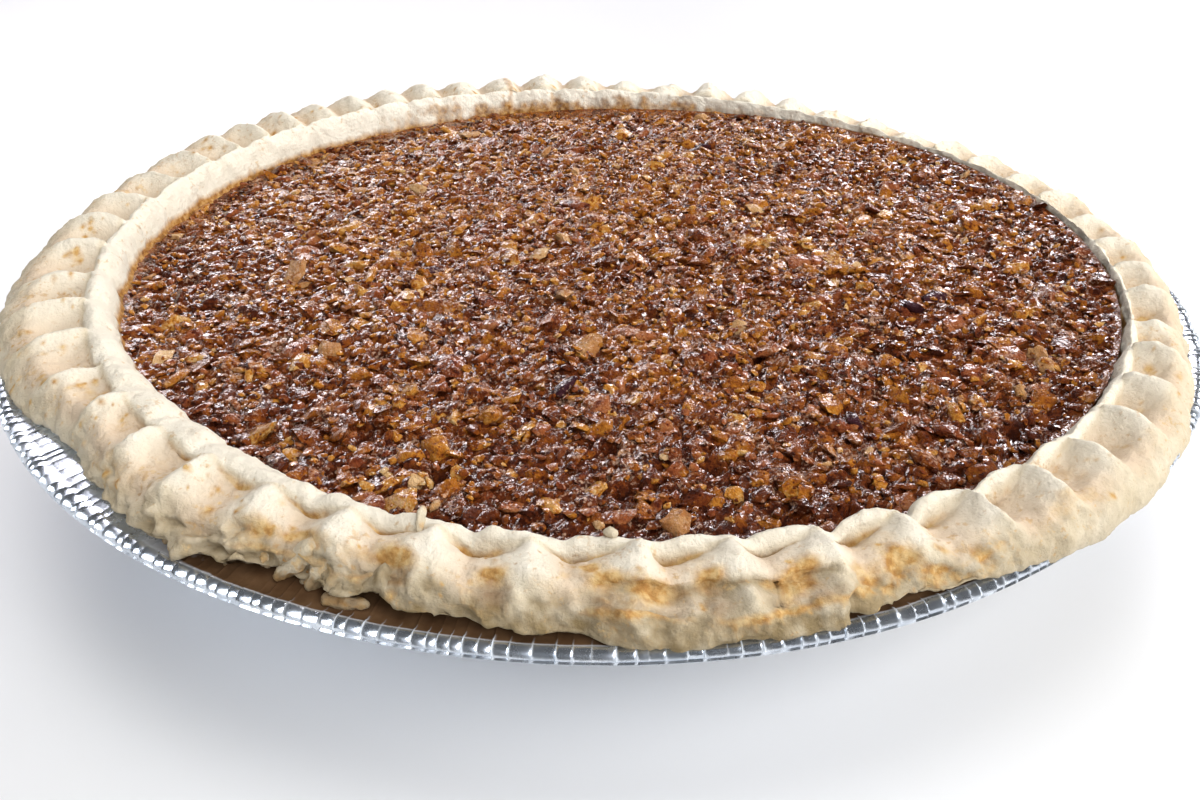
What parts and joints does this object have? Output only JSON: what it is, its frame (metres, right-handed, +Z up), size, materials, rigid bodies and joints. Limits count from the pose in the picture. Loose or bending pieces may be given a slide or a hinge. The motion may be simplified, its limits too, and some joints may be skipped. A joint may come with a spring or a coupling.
{
  "type": "pecan pie in a foil tin",
  "caption": "Round open nut pie with a deep crimped pastry rim and a glossy chopped nut filling, baked in its own thin foil tin.",
  "frame": {"origin": "centre of the tin's flat underside, on the surface that the pie stands on", "axes": "+Z up; -Y is the side that faces the viewer, where the pastry's edge has a thick ledge; +X to the viewer's right"},
  "size_m": [0.245, 0.245, 0.0437],
  "materials": {
    "foil": "bright pressed foil with fine creases",
    "pastry": "matte baked shortcrust, pale cream with a little golden browning",
    "nut_filling": "glossy caramel packed with chopped nuts"
  },
  "bodies": {
    "root": {"tin": "foil", "crust": "pastry", "filling": "nut_filling"}
  },
  "joints": []
}
